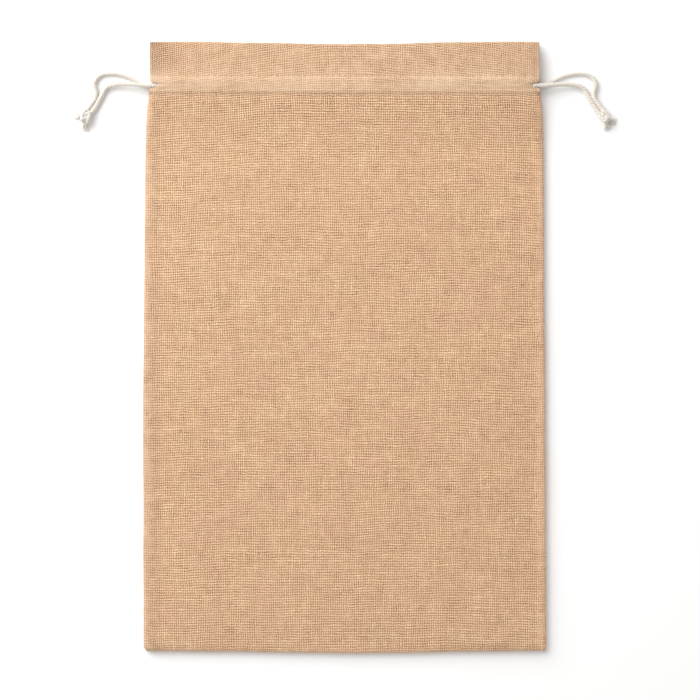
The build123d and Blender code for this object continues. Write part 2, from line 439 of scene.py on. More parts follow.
def jute_material():
    """Plain open weave, closed over the seams and wider open in the header corner and under the channel."""
    n = Nodes("jute_weave")
    uv = n.add("ShaderNodeUVMap", uv_map="weave").outputs[0]
    x, y, _ = n.separate(n.add("ShaderNodeUVMap", uv_map="place").outputs[0])
    height, shade, tone, fibre = jute_threads(n, uv)
    u, v, _ = n.separate(uv)
    seam = n.span(n.math("ABSOLUTE", x), *SEAM_BAND)
    seam = n.math("MAXIMUM", seam, n.span(y, BOTTOM + 5.0, BOTTOM + 1.5))
    header = n.span(y, ROW_LOW - 1.0, ROW_LOW + 3.0)
    corner = n.times(n.span(x, *OPEN_CORNER), n.span(y, ROW_HIGH, ROW_HIGH + 5.0))
    under = n.times(bell(n, y, ROW_LOW - 7.0, 16.0), n.minus(1.0, seam))
    # Painted shade along the lower row of stitches: the weave is made more open there, so its painted gaps
    # form a broken dark line, the shade of the crease at the row
    row = bell(n, y, ROW_LOW, 1.7)
    patch = n.noise(uv, 0.018, 3.0, 0.55)
    blotch = n.noise(n.combine(u, v, 90.0), 0.05, 2.0, 0.5)
    open_noise = n.noise(n.combine(u, v, 120.0), 0.16, 3.0, 0.7)
    base = n.minus(n.span(open_noise, 0.30, 0.70, 0.25, 0.85), n.times(header, 0.22))
    lump = n.span(n.noise(n.combine(u, v, 150.0), 0.09, 2.0, 0.5), 0.52, 0.68)
    more = n.plus(n.times(corner, 0.8), n.times(under, 0.25))
    more = n.plus(more, n.times(lump, 0.25))
    more = n.plus(more, n.times(row, n.span(blotch, 0.42, 0.62, 0.0, 0.5)))
    openness = n.minus(n.plus(base, more), n.times(seam, 0.5))
    light = n.mix(n.span(patch, 0.35, 0.65), STRAW, HONEY)
    pink = n.math("MAXIMUM", n.span(blotch, 0.42, 0.62, 0.0, 0.8), n.times(seam, 0.8))
    light = n.mix(pink, light, ROSE)
    light = n.mix(n.times(header, 0.42), light, DULL)
    dark = n.mix(n.span(blotch, 0.4, 0.6), TAN, LIGHT_TAN)
    colour = n.mix(n.span(tone, 0.35, 0.65), dark, light)
    colour = n.mix(n.span(fibre, 0.35, 0.72, 0.0, 0.30), colour, BLOND)
    # Painted shade at the sides of the threads, stronger where the weave is more open
    sides = n.times(shade, n.span(openness, 0.0, 0.5, 0.45, 1.0))
    colour = n.mix(sides, colour, THREAD_SIDE_SHADE)
    # Painted shade in the gaps between the threads: where they lie low the colour goes towards a deep brown,
    # more so where the weave is open
    deepest = n.span(openness, 0.0, 1.0, 0.05, 0.35)
    shallowest = n.span(openness, 0.0, 1.0, 0.45, 0.80)
    pore_shade = n.span(height, deepest, shallowest, 1.0, 0.0)
    pore_shade = n.times(pore_shade, n.span(openness, 0.0, 1.0, 0.35, 0.95))
    colour = n.mix(pore_shade, colour, PORE_SHADE)
    # Painted shade over the header and the left edge, which tilt towards the key light and would come out too
    # bright
    header_and_edge_shade = n.plus(n.times(header, 0.065), n.span(x, *SHADED_LEFT_EDGE, 0.0, 0.18))
    colour = n.mix(header_and_edge_shade, colour, PAINTED_SHADE)
    channel = n.times(header, n.span(y, ROW_HIGH + 9.0, ROW_HIGH - 5.0))
    channel = n.times(channel, n.span(blotch, 0.35, 0.65, 0.06, 0.28))
    colour = n.mix(channel, colour, PALE)
    n.bump(n.plus(height, n.times(fibre, 0.3)), 0.0005, 0.75)
    return n.finish(colour, 0.86, 0.1)


def thread_material(name, light, dark, scale, softness):
    """Twisted yarn: fine streaks and small changes of tone. softness lets light through its fibres."""
    n = Nodes(name)
    place = n.add("ShaderNodeTexCoord").outputs["Object"]
    fine = n.noise(place, scale, 3.0, 0.7)
    broad = n.noise(place, scale * 0.04, 2.0, 0.5)
    tone = n.plus(n.times(fine, 0.65), n.times(broad, 0.35))
    colour = n.mix(n.span(tone, 0.36, 0.64), dark, light)
    n.bump(fine, 0.0001, 0.6)
    n.shader.inputs["Subsurface Weight"].default_value = softness
    n.shader.inputs["Subsurface Radius"].default_value = (1.0, 0.85, 0.7)
    n.shader.inputs["Subsurface Scale"].default_value = 0.0025
    return n.finish(colour, 0.82, 0.25)


MATERIALS = {}


def make_materials():
    MATERIALS["jute"] = jute_material()
    for name, looks in THREADS.items():
        MATERIALS[name] = thread_material(name, *looks)


# ---- mesh helpers

def new_mesh(name, points, faces, material):
    """A smooth object from points in millimetres and faces."""
    data = bpy.data.meshes.new(name)
    data.from_pydata((np.asarray(points, float) * MM).tolist(), [], faces)
    data.update()
    data.shade_smooth()
    data.materials.append(MATERIALS[material])
    return add_object(name, data)


def smooth_step(value):
    t = np.clip(value, 0.0, 1.0)
    return t * t * (3.0 - 2.0 * t)


def waves(x, y, count, length, seed):
    """A smooth uneven surface between about -1 and 1: a few plane waves in fixed random directions."""
    chance = random.Random(seed)
    total = np.zeros_like(np.asarray(x, float) + np.asarray(y, float))
    for _ in range(count):
        angle = chance.uniform(0.0, math.tau)
        span = length * chance.uniform(0.7, 1.5)
        phase = chance.uniform(0.0, math.tau)
        total += np.sin((x * math.cos(angle) + y * math.sin(angle)) * math.tau / span + phase)
    return total / count


def grid_faces(rows, columns, flip=False):
    """Quads of a grid whose points run along each row in turn."""
    faces = []
    for r in range(rows - 1):
        for c in range(columns - 1):
            corner = r * columns + c
            quad = (corner, corner + 1, corner + columns + 1, corner + columns)
            faces.append(quad[::-1] if flip else quad)
    return faces


def frames_along(centres):
    """A side and an up direction at each point, turning as little as possible."""
    tangents = np.gradient(centres, axis=0)
    tangents /= np.linalg.norm(tangents, axis=1)[:, None]
    side = np.cross(tangents[0], (0.0, 0.0, 1.0))
    if np.linalg.norm(side) < 0.1:
        side = np.cross(tangents[0], (0.0, 1.0, 0.0))
    sides = []
    for tangent in tangents:
        side = side - tangent * (side @ tangent)
        side = side / np.linalg.norm(side)
        sides.append(side)
    sides = np.array(sides)
    return sides, np.cross(sides, tangents)


def tube(centres, radii, corners=8):
    """Points and faces of a round tube with closed ends, along centres, one radius for each."""
    centres = np.asarray(centres, float)
    radii = np.broadcast_to(radii, len(centres))
    points = []
    for centre, radius, side, up in zip(centres, radii, *frames_along(centres)):
        for k in range(corners):
            angle = math.tau * k / corners
            points.append(centre + radius * (math.cos(angle) * side + math.sin(angle) * up))
    faces = []
    for ring in range(0, (len(centres) - 1) * corners, corners):
        for k in range(corners):
            after = (k + 1) % corners
            faces.append((ring + k, ring + after, ring + corners + after, ring + corners + k))
    last = (len(centres) - 1) * corners
    faces.append(tuple(range(corners - 1, -1, -1)))
    faces.append(tuple(range(last, last + corners)))
    return points, faces


def join_shapes(shapes):
    """One list of points and one of faces from several."""
    points = []
    faces = []
    for more_points, more_faces in shapes:
        start = len(points)
        points.extend(more_points)
        faces.extend(tuple(i + start for i in face) for face in more_faces)
    return points, faces


def blend_middle(piece):
    """The piece follows the pouch at both sides and its front in the middle, so the side seams stay shut."""
    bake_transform(piece, "pouch", "front", start=(-SPLIT_X * MM, 0, 0), end=(0, 0, 0))
    weights = piece.data.attributes["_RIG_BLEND"].data
    for vertex, weight in zip(piece.data.vertices, weights):
        weight.value = float(smooth_step(1.0 - abs(vertex.co.x) / (SPLIT_X * MM)))


# ---- the cloth's shape

def at(surface, *place):
    """One value of a surface or an edge."""
    return float(surface(*(np.array([c]) for c in place))[0])


def outline_half(y, side, front=True):
    """Half the pouch's width at y. The back cloth has hardly any notch, so it shows behind the cords."""
    line = (LEFT_OUTLINE if side < 0 else RIGHT_OUTLINE) + SHOULDER + (NOTCH if front else []) + HEADER
    half = np.interp(y, [place for place, _ in line], [reach for _, reach in line])
    corner = LOWER_CORNERS[side]
    rise = np.clip(corner - (y - BOTTOM), 0.0, corner)
    half = half - (corner - np.sqrt(np.maximum(corner**2 - rise**2, 0.0)))
    return half + 0.35 * waves(y, 0.0 * y, 5, 55.0, 3 + side)


def bottom_edge(x):
    """The bottom edge bulges a little towards its middle."""
    return BOTTOM + 0.35 + 1.7 * smooth_step(np.abs(x) / 150.0) + 0.3 * waves(x, 0.0 * x, 4, 60.0, 21)


def top_edge(x):
    """The folded top edge dips a little in its middle."""
    return TOP - 0.3 - 1.7 * (1.0 - smooth_step(np.abs(x) / 120.0)) + 0.25 * waves(x, 0.0 * x, 4, 70.0, 22)


def channel_ridge(y):
    """1 over the cord channel and 0 outside its two rows of stitches."""
    return smooth_step((y - ROW_LOW) / 3.0) * smooth_step((ROW_HIGH - y) / 3.0)


def row_dips(y, reach):
    """1 on each row of the channel's stitches, falling away over reach."""
    return np.exp(-(((y - ROW_LOW) / reach) ** 2)) + np.exp(-(((y - ROW_HIGH) / reach) ** 2))


def front_base(x, y):
    """Height of the front cloth away from its seams, without the channel."""
    inside = np.minimum(HALF_WIDTH - np.abs(x), y - BOTTOM)
    body = EDGE_Z + CROWN * smooth_step(inside / CROWN_REACH)
    body = body + 0.42 * waves(x, y, 7, 120.0, 5) * smooth_step(inside / 20.0)
    body = body + 0.10 * waves(x, y, 6, 34.0, 6)
    low = CHANNEL_Z - RIDGE
    share = smooth_step((y - (ROW_LOW - 42.0)) / 40.0)
    height = body * (1.0 - share) + low * share
    header = low - HEADER_DROP * smooth_step((y - ROW_HIGH) / (TOP - ROW_HIGH))
    header = header + 0.3 * waves(x, y, 5, 80.0, 8) * smooth_step((y - ROW_HIGH) / 8.0)
    return np.where(y > ROW_LOW, header, height)


def front_plateau(x, y):
    """Height of the front cloth with its channel and the dips along its stitches."""
    ridge = channel_ridge(y)
    height = front_base(x, y) + RIDGE * ridge + 0.05 * waves(x, y, 4, 14.0, 9) * ridge
    return height - ROW_DIP * row_dips(y, 1.1) * (0.8 + 0.2 * np.cos(x * math.tau / STITCH_PITCH))


def back_plateau(x, y):
    """Height of the back cloth's outer face away from its seams."""
    lift = 1.0 * smooth_step((y - ROW_HIGH) / (TOP - ROW_HIGH))
    return 0.12 + lift + 0.12 * (1.0 + waves(x, y, 5, 90.0, 15))


# How far in from the outline, and how far up from the seam, the cloth goes as it turns at an edge
EDGE_TURN = [(0.55, 0.0), (0.15, 0.06), (0.0, 0.20), (0.10, 0.40), (0.50, 0.60), (1.2, 0.77), (2.3, 0.89),
             (3.8, 0.975), (5.6, 1.0)]


def across_positions(y, side_open, front):
    """x and rise along one row. At side_open 0 both ends turn down to a seam, and at 1 they lie flat."""
    left = outline_half(y, -1, front)
    right = outline_half(y, 1, front)
    inset = np.array([e for e, _ in EDGE_TURN])
    rise = np.array([h for _, h in EDGE_TURN])
    flat_inset = np.linspace(0.0, inset[-1], len(inset))
    inset = inset * (1.0 - side_open) + flat_inset * side_open
    flat_rise = 1.0 - 0.10 * (1.0 - smooth_step(flat_inset / inset[-1]))
    rise = rise * (1.0 - side_open) + flat_rise * side_open
    middle = np.linspace(-left + inset[-1], right - inset[-1], 98)[1:-1]
    x = np.concatenate([-left + inset, middle, (right - inset)[::-1]])
    h = np.concatenate([rise, np.ones(len(middle)), rise[::-1]])
    return x, h


def along_positions():
    """y stations from above the bottom's turn to the mouth, closer together at the channel."""
    lower = np.linspace(0.0, 1.0, 134)[1:] * (ROW_LOW - 5.0 - BOTTOM - 7.0) + BOTTOM + 7.0
    channel = np.arange(ROW_LOW - 4.0, ROW_HIGH + 4.0, 0.6)
    header = np.linspace(ROW_HIGH + 4.6, TOP - 2.0, 11)
    return np.concatenate([lower, channel, header])


def warped(x, y):
    """Bends a straight row to follow the bottom edge and the top edge."""
    low_share = np.clip((LOW_BEND_FROM - y) / (LOW_BEND_FROM - BOTTOM), 0.0, 1.0)
    high_share = np.clip((y - ROW_HIGH - 4.0) / (TOP - ROW_HIGH - 4.0), 0.0, 1.0)
    low = bottom_edge(x) - BOTTOM
    high = top_edge(x) - TOP
    return y + low * low_share + high * high_share


def cloth_rows(front):
    """Rows of points of one panel, from its bottom seam up to its fold at the mouth and round the fold."""
    rows = []
    plateau = front_plateau if front else back_plateau
    y_turn = [(BOTTOM + e, h) for e, h in EDGE_TURN]
    stations = y_turn + [(y, 1.0) for y in along_positions()]
    for y, h_low in stations:
        side_open = float(smooth_step((y - OPEN_FROM) / OPEN_OVER))
        x, h_side = across_positions(y, side_open, front)
        y_row = warped(x, y)
        flat = plateau(x, y_row)
        rise = h_side * h_low
        z = SEAM_Z + (flat - SEAM_Z) * rise
        rows.append(np.stack([x, y_row, z], axis=1))
    last = rows[-1]
    down = -1.0 if front else 1.0
    y_end = top_edge(last[:, 0])
    start_z = plateau(last[:, 0], y_end - FOLD_RADIUS)
    for angle in (0.0, 30.0, 60.0, 90.0, 120.0, 150.0, 180.0):
        turn = math.radians(angle)
        row = last.copy()
        row[:, 1] = y_end - FOLD_RADIUS + FOLD_RADIUS * math.sin(turn)
        row[:, 2] = start_z + down * FOLD_RADIUS * (1.0 - math.cos(turn))
        rows.append(row)
    return np.array(rows)


def weft_bow(x, y):
    """How far the level threads sag at the sides near the mouth, where the cords have pulled the cloth."""
    near_mouth = np.exp(-(TOP - y) / 46.0)
    left = 16.0 * (np.clip(-x, 0.0, None) / 145.0) ** 1.5
    right = 11.0 * (np.clip(x, 0.0, None) / 145.0) ** 1.7
    return near_mouth * (left + right) + 1.2 * np.exp(-(TOP - y) / 200.0) * waves(x, y, 3, 160.0, 33)


def add_weave_map(piece, grid, seed):
    """A UV map in millimetres along the cloth, measured over the grid of its points."""
    rows, columns, _ = grid.shape
    across = np.linalg.norm(np.diff(grid, axis=1), axis=2)
    along = np.linalg.norm(np.diff(grid, axis=0), axis=2)
    u = np.concatenate([np.zeros((rows, 1)), np.cumsum(across, axis=1)], axis=1)
    middle = columns // 2
    u = u - u[:, middle:middle + 1] + grid[:, middle, 0][:, None]
    v = np.concatenate([np.zeros((1, columns)), np.cumsum(along, axis=0)], axis=0)
    v = v + BOTTOM
    v = v + weft_bow(grid[:, :, 0], grid[:, :, 1])
    add_map(piece, "weave", np.stack([u + seed, v + 2.0 * seed], axis=2).reshape(-1, 2))
    add_map(piece, "place", grid[:, :, :2].reshape(-1, 2))


def add_map(piece, name, values):
    """A UV map with one pair of values for each point."""
    corners = np.zeros(len(piece.data.loops), int)
    piece.data.loops.foreach_get("vertex_index", corners)
    layer = piece.data.uv_layers.new(name=name)
    layer.data.foreach_set("uv", values[corners].astype(np.float32).ravel())


def thicken(piece, thickness):
    """Gives a sheet its thickness, on the side away from its normals."""
    modifier = piece.modifiers.new("thickness", "SOLIDIFY")
    modifier.thickness = thickness * MM
    modifier.offset = -1.0


def cloth_piece(name, grid, front, seed):
    """A piece of cloth over a grid of points, with its weave and its thickness."""
    rows, columns, _ = grid.shape
    piece = new_mesh(name, grid.reshape(-1, 3), grid_faces(rows, columns, flip=not front), "jute")
    add_weave_map(piece, grid, seed)
    thicken(piece, CLOTH)
    return piece


def make_panel(name, front):
    """One panel with the fold at its mouth."""
    return cloth_piece(name, cloth_rows(front), front, 0.0 if front else 500.0)


def hem_height(x, y, front):
    """The inner face of the panel's fold, and below the channel it stands off by a cord's height."""
    ridge = smooth_step((y - ROW_LOW - 0.4) / 2.0) * smooth_step((ROW_HIGH - 0.4 - y) / 2.4)
    if front:
        return front_base(x, y) - CLOTH - 0.1 - HEM_DROP * ridge - ROW_DIP * row_dips(y, 1.6)
    return back_plateau(x, y) + CLOTH + 0.1 + (CORD + 0.35) * ridge


def make_hem(name, front):
    """The turned-down facing inside one panel, from the fold to its raw edge below the channel."""
    stations = np.concatenate([
        np.linspace(HEM_LOW, ROW_LOW - 1.2, 7),
        np.arange(ROW_LOW - 0.4, ROW_HIGH + 1.4, 0.8),
        np.linspace(ROW_HIGH + 2.4, TOP - FOLD_RADIUS, 12),
    ])
    rows = []
    for y in stations:
        ends = [HEM_HALF_SPAN if y < ROW_LOW else float(outline_half(y, side)) - 0.9 for side in (-1, 1)]
        x = np.linspace(-ends[0], ends[1], 110)
        ragged = 0.5 * waves(x, 0.0 * x, 6, 9.0, 61) if y == stations[0] else 0.0
        y_row = warped(x, y + ragged)
        rows.append(np.stack([x, y_row, hem_height(x, y_row, front)], axis=1))
    grid = np.array(rows)
    edge = grid[-1]
    if front:
        edge[:, 2] = front_plateau(edge[:, 0], edge[:, 1]) - 2 * FOLD_RADIUS
    else:
        edge[:, 2] = back_plateau(edge[:, 0], edge[:, 1]) + 2 * FOLD_RADIUS
    edge[:, 1] = top_edge(edge[:, 0]) - FOLD_RADIUS
    return cloth_piece(name, grid, front, 900.0 if front else 1300.0)


# ---- seams and stitches

def allowance_piece(name, points, rows, columns, flip):
    """Two layers of a seam's allowance, each a grid of points."""
    faces = grid_faces(rows, columns, flip)
    faces += [tuple(i + rows * columns for i in face) for face in faces]
    piece = new_mesh(name, np.concatenate(points), faces, "jute")
    add_flat_map(piece)
    thicken(piece, CLOTH * 0.8)
    return piece


def make_side_seam(name, side):
    """Both allowances of one side, pressed to the inside, with an uneven raw edge."""
    ys = np.linspace(seam_low[1], ROW_LOW - 2.0, 130)
    points = []
    for layer, lift in enumerate((0.0, LAYER_STEP)):
        for y in ys:
            outer = float(outline_half(y, side)) - 1.6
            inner = outer - ALLOWANCE - 0.5 * float(waves(y, 0.0, 6, 8.0, 71 + side + 8 * layer))
            x = side * np.linspace(outer, inner, 7)
            z = ALLOWANCE_Z + lift + 0.25 * np.linspace(0.0, 1.0, 7)
            points.append(np.stack([x, np.full(7, y), z], axis=1))
    return allowance_piece(name, points, len(ys), 7, side > 0)


def make_bottom_seam(name):
    """Both allowances of the bottom, pressed to the inside."""
    xs = np.linspace(-HALF_WIDTH + 12.0, HALF_WIDTH - 12.0, 100)
    points = []
    for layer, lift in enumerate((0.0, LAYER_STEP)):
        for reach in np.linspace(1.8, 9.4, 7):
            ragged = 0.5 * waves(xs, 0.0 * xs, 6, 8.0, 81 + 8 * layer) if reach > 9.0 else 0.0
            y = bottom_edge(xs) + reach + ragged
            z = np.full(len(xs), ALLOWANCE_Z + lift + 0.03 * reach)
            points.append(np.stack([xs, y, z], axis=1))
    return allowance_piece(name, points, 7, len(xs), False)


def add_flat_map(piece):
    """Maps straight from X and Y, for strips that lie flat."""
    places = np.array([vertex.co[:2] for vertex in piece.data.vertices]) / MM
    add_map(piece, "weave", places + 2000.0)
    add_map(piece, "place", places)


def stitch(start, end, dip):
    """One stitch: a short round thread whose ends go down into the cloth."""
    start = np.asarray(start, float)
    end = np.asarray(end, float)
    shares = np.array([0.0, 0.1, 0.28, 0.5, 0.72, 0.9, 1.0])
    lift = np.array([-1.0, -0.25, 0.35, 0.5, 0.35, -0.25, -1.0]) * dip
    centres = start + (end - start) * shares[:, None]
    centres[:, 2] += lift
    return tube(centres, STITCH_RADIUS * np.array([0.7, 0.9, 1.0, 1.0, 1.0, 0.9, 0.7]), 6)


def make_stitch_rows(surface, seed):
    """The two rows of a channel, along one face of the cloth."""
    chance = random.Random(seed)
    shapes = []
    for y_row in (ROW_LOW, ROW_HIGH):
        x = -HEM_HALF_SPAN + 1.0
        while x < HEM_HALF_SPAN - STITCH_PITCH:
            pitch = STITCH_PITCH * chance.uniform(0.94, 1.06)
            y = y_row + chance.uniform(-0.15, 0.15)
            ends = []
            for end_x in (x, x + STITCH_LENGTH * chance.uniform(0.95, 1.05)):
                y_end = at(warped, end_x, y)
                ends.append((end_x, y_end, at(surface, end_x, y_end)))
            shapes.append(stitch(ends[0], ends[1], 0.4))
            x += pitch
    return join_shapes(shapes)


def front_thread_height(x, y):
    return front_plateau(x, y) - 0.12


def front_hem_thread_height(x, y):
    return hem_height(x, y, True) - CLOTH - 0.05


def back_hem_thread_height(x, y):
    return hem_height(x, y, False) + CLOTH + 0.05


def make_front_stitching():
    outside = make_stitch_rows(front_thread_height, 101)
    inside = make_stitch_rows(front_hem_thread_height, 102)
    return new_mesh("front_channel_threads", *join_shapes([outside, inside]), "jute_thread")


def make_back_stitching():
    return new_mesh("back_channel_threads", *make_stitch_rows(back_hem_thread_height, 103), "jute_thread")


def make_overlock(name, line, reach, seed):
    """Zigzag thread over a raw edge and a straight row beside it, along a list of points."""
    chance = random.Random(seed)
    shapes = []
    line = np.asarray(line, float)
    for here, there in zip(line, line[1:]):
        shapes.append(stitch(here, here + (there - here) * 0.82, 0.2))
        tip = (here + there) / 2 + reach * chance.uniform(0.92, 1.05)
        shapes.append(tube([here, (here + tip) / 2 + (0, 0, 0.25), tip], STITCH_RADIUS * 0.7, 5))
        shapes.append(tube([tip, (there + tip) / 2 + (0, 0, 0.25), there], STITCH_RADIUS * 0.7, 5))
    return new_mesh(name, *join_shapes(shapes), "jute_thread")


def make_seam_stitching():
    """The threads of the two side seams and the bottom seam, inside the pouch."""
    made = []
    z = ALLOWANCE_Z + LAYER_STEP + 0.35
    for name, side in (("left_side_threads", -1), ("right_side_threads", 1)):
        ys = np.arange(seam_low[1] + 1.0, ROW_LOW - 4.0, STITCH_PITCH)
        x = np.array([float(outline_half(y, side)) - 4.2 for y in ys])
        line = np.stack([side * x, ys, np.full(len(ys), z)], axis=1)
        made.append(make_overlock(name, line, np.array([-side * 4.6, 0.0, 0.0]), 110 + side))
    xs = np.arange(-HALF_WIDTH + 14.0, HALF_WIDTH - 14.0, STITCH_PITCH)
    line = np.stack([xs, bottom_edge(xs) + 4.2, np.full(len(xs), z)], axis=1)
    made.append(make_overlock("bottom_threads", line, np.array([0.0, 4.6, 0.0]), 120))
    return made


# ---- cords

def spline_points(route, name):
    """A route's smooth line: points in millimetres read from its NURBS spline."""
    curve = bpy.data.curves.new(name, "CURVE")
    curve.dimensions = "3D"
    spline = curve.splines.new("NURBS")
    spline.points.add(len(route) - 1)
    for point, place in zip(spline.points, route):
        point.co = (*(c * MM for c in place), 1.0)
    spline.order_u = 3
    spline.use_endpoint_u = True
    spline.resolution_u = 24
    holder = add_object(name, curve)
    bpy.context.view_layer.update()
    data = bpy.data.meshes.new_from_object(holder.evaluated_get(bpy.context.evaluated_depsgraph_get()))
    points = np.array([vertex.co for vertex in data.vertices]) / MM
    bpy.data.objects.remove(holder)
    bpy.data.curves.remove(curve)
    bpy.data.meshes.remove(data)
    return points


def respaced(points, step):
    """The same line with its points a step apart, and the distance of each along it."""
    points = np.asarray(points, float)
    lengths = np.concatenate([[0.0], np.cumsum(np.linalg.norm(np.diff(points, axis=0), axis=1))])
    count = max(3, int(round(lengths[-1] / step)) + 1)
    distances = np.linspace(0.0, lengths[-1], count)
    return np.stack([np.interp(distances, lengths, points[:, k]) for k in range(3)], axis=1), distances


def twisted(centres, distances, loosen=0.0, diameter=CORD):
    """Three strands laid round a line, as points and faces. loosen opens them towards the line's end."""
    sides, ups = frames_along(centres)
    strand_radius = np.asarray(diameter) * 0.268
    offset = np.asarray(diameter) * 0.245
    share = np.linspace(0.0, 1.0, len(centres))
    shapes = []
    for k in range(3):
        angle = distances * math.tau / LAY_LENGTH + k * math.tau / 3
        spread = offset * (1.0 + loosen * share**2)
        path = centres + spread[:, None] * (np.cos(angle)[:, None] * sides + np.sin(angle)[:, None] * ups)
        shapes.append(tube(path, strand_radius * (1.0 - 0.15 * loosen * share), 9))
    return join_shapes(shapes)


def make_strand(name, route, thickness):
    """One free strand, from the notch into the knot, where it spreads as it meets the other."""
    centres, distances = respaced(spline_points(route, name), 0.45)
    spread = smooth_step((distances / distances[-1] - 0.52) / 0.2)
    diameter = CORD * (thickness + (KNOT_SPREAD - thickness) * spread)
    centres[:, 2] = np.maximum(centres[:, 2], diameter * 0.52)
    return new_mesh(name, *twisted(centres, distances, diameter=diameter), "cotton_cord"), centres


def make_run(name, x_from, x_to, y, z, sign=-1.0):
    """A straight run in a channel, whose twist goes on from the strand that leaves the notch."""
    centres, distances = respaced([(x_from, y, z), (x_to, y, z)], 1.2)
    return new_mesh(name, *twisted(centres, sign * distances), "cotton_cord")


def make_bight(name, side):
    """The turn in the notch, from the front channel to the back one."""
    middle_z = (FRONT_LANE_Z + BACK_LANE_Z) / 2
    radius = (FRONT_LANE_Z - BACK_LANE_Z) / 2
    angles = np.linspace(math.pi / 2, -math.pi / 2, 30)
    centres = [(side * (NOTCH_X + radius * math.cos(a)), FIXED_LANE, middle_z + radius * math.sin(a))
               for a in angles]
    centres, distances = respaced(centres, 0.45)
    return new_mesh(name, *twisted(centres, distances), "cotton_cord")


def knot_line(centre, along, turn, size):
    """The closed line of an overhand knot round an axis, drawn tight."""
    along = np.asarray(along, float) / np.linalg.norm(along)
    side = np.cross(along, (0.0, 0.0, 1.0))
    side /= np.linalg.norm(side)
    up = np.cross(side, along)
    t = np.linspace(0.0, math.tau, 150, endpoint=False) + turn
    a = (np.sin(t) + 2.0 * np.sin(2.0 * t)) / 3.0
    b = (np.cos(t) - 2.0 * np.cos(2.0 * t)) / 3.0
    c = -np.sin(3.0 * t)
    return centre + size[0] * a[:, None] * side + size[1] * b[:, None] * up + size[2] * c[:, None] * along


def make_knot(name, strands, node):
    """An overhand knot in both strands together: two turns of cord wound through each other."""
    low, high = box_mm(node)
    centre = (low + high) / 2
    ends = (strands[0][-1] + strands[1][-1]) / 2
    along = centre - ends
    shapes = []
    for turn, size in ((0.0, (2.7, 2.2, 3.0)), (math.pi, (3.0, 2.4, 3.6))):
        line = knot_line(centre, along, turn, size)
        line = np.concatenate([line, line[:3]])
        line, distances = respaced(line, 0.4)
        line[:, 2] = np.maximum(line[:, 2], 1.4)
        shapes.append(twisted(line, distances, diameter=CORD))
    return new_mesh(name, *join_shapes(shapes), "cotton_cord"), centre


def make_tail(name, centre, node, seed):
    """A cut end: a short twisted piece that opens into loose fibres."""
    chance = random.Random(seed)
    low, high = box_mm(node)
    corners = [np.array([x, y, 1.3]) for x in (low[0], high[0]) for y in (low[1], high[1])]
    tip = max(corners, key=lambda p: np.linalg.norm(p[:2] - centre[:2]))
    reach = tip - centre
    bend = centre + reach * 0.55 + np.array([chance.uniform(-0.5, 0.5), chance.uniform(-0.5, 0.5), -0.6])
    line = spline_points([centre + reach * 0.12, bend, centre + reach * 0.72], name + "_line")
    centres, distances = respaced(line, 0.4)
    centres[:, 2] = np.maximum(centres[:, 2], CORD / 2 + 0.12)
    yarns = twisted(centres, distances, loosen=1.0)
    shapes = []
    direction = centres[-1] - centres[-3]
    direction /= np.linalg.norm(direction)
    side = np.cross(direction, (0.0, 0.0, 1.0))
    for _ in range(60):
        begin = centres[-1] - direction * chance.uniform(0.2, 2.4)
        begin = begin + side * chance.uniform(-1.2, 1.2) + np.array([0.0, 0.0, chance.uniform(-0.8, 0.8)])
        length = FRAY_LENGTH * chance.uniform(0.45, 1.0)
        fan = chance.uniform(-0.75, 0.75)
        curl = chance.uniform(-0.5, 0.5)
        fibre = []
        for share in np.linspace(0.0, 1.0, 6):
            sideways = (fan * share + curl * share**2) * length
            place = begin + direction * length * share * (1.0 - 0.15 * abs(fan)) + side * sideways
            place[2] = max(0.25, place[2] * (1.0 - 0.75 * share))
            fibre.append(place)
        shapes.append(tube(fibre, np.linspace(0.24, 0.10, 6), 4))
    piece = new_mesh(name, *join_shapes([yarns, *shapes]), "cotton_cord")
    # The loose fibres take the lighter cotton, painted light against the shade they cast on each other
    piece.data.materials.append(MATERIALS["lit_cotton_fibre"])
    for face in piece.data.polygons[len(yarns[1]):]:
        face.material_index = 1
    return piece


# ---- loose fibres

def hair(begin, heading, lift, length, curl, radius):
    """One curved fibre as a thin tube."""
    steps = np.linspace(0.0, 1.0, 7)
    angle = heading + curl * steps
    moves = np.stack([np.cos(angle), np.sin(angle), lift * (1.0 - 1.6 * steps)], axis=1) * (length / 6)
    places = np.asarray(begin, float) + np.concatenate([[np.zeros(3)], np.cumsum(moves[:-1], axis=0)])
    places[:, 2] = np.maximum(places[:, 2], radius + 0.02)
    return tube(places, np.linspace(radius, radius * 0.5, 7), 4)


def stray(chance, place, heights, heading, spread, lift, reach, curl, radius):
    """A fibre at (x, y) whose height, heading, length and curl are drawn in that order."""
    begin = (*place, chance.uniform(*heights))
    angle = heading + chance.uniform(-spread, spread)
    length = chance.uniform(*reach)
    return hair(begin, angle, lift, length, chance.uniform(-curl, curl), radius)


def make_face_fibres():
    """Fibres that stand off the front face."""
    chance = random.Random(7)
    shapes = []
    for _ in range(520):
        x = chance.uniform(-FIBRE_REACH, FIBRE_REACH)
        y = chance.uniform(BOTTOM + 6.0, TOP - 3.0)
        if abs(x) > NOTCH_CLEAR_X and NOTCH_CLEAR_Y[0] < y < NOTCH_CLEAR_Y[1]:
            continue
        z = at(front_plateau, x, y) - 0.02
        length = chance.uniform(2.5, 8.0)
        heading = chance.uniform(0.0, math.tau)
        shapes.append(hair((x, y, z), heading, 0.22, length, chance.uniform(-1.8, 1.8), 0.06))
    return new_mesh("front_face_fibres", *join_shapes(shapes), "jute_fibre")


def make_top_fibres():
    """Fibres along the fold of the header, thickest near the left corner."""
    chance = random.Random(8)
    shapes = []
    for number in range(90):
        x = -FIBRE_REACH + 60.0 * chance.random() ** 1.3 if number < 48 else chance.uniform(-140.0, 140.0)
        y = at(top_edge, x) - 0.4
        z = at(front_plateau, x, y - 0.6) - FOLD_RADIUS
        length = chance.uniform(1.5, 4.2)
        shapes.append(hair((x, y, z), chance.uniform(1.0, 2.1), 0.1, length, chance.uniform(-0.9, 0.9), 0.07))
    return new_mesh("header_fibres", *join_shapes(shapes), "jute_fibre")


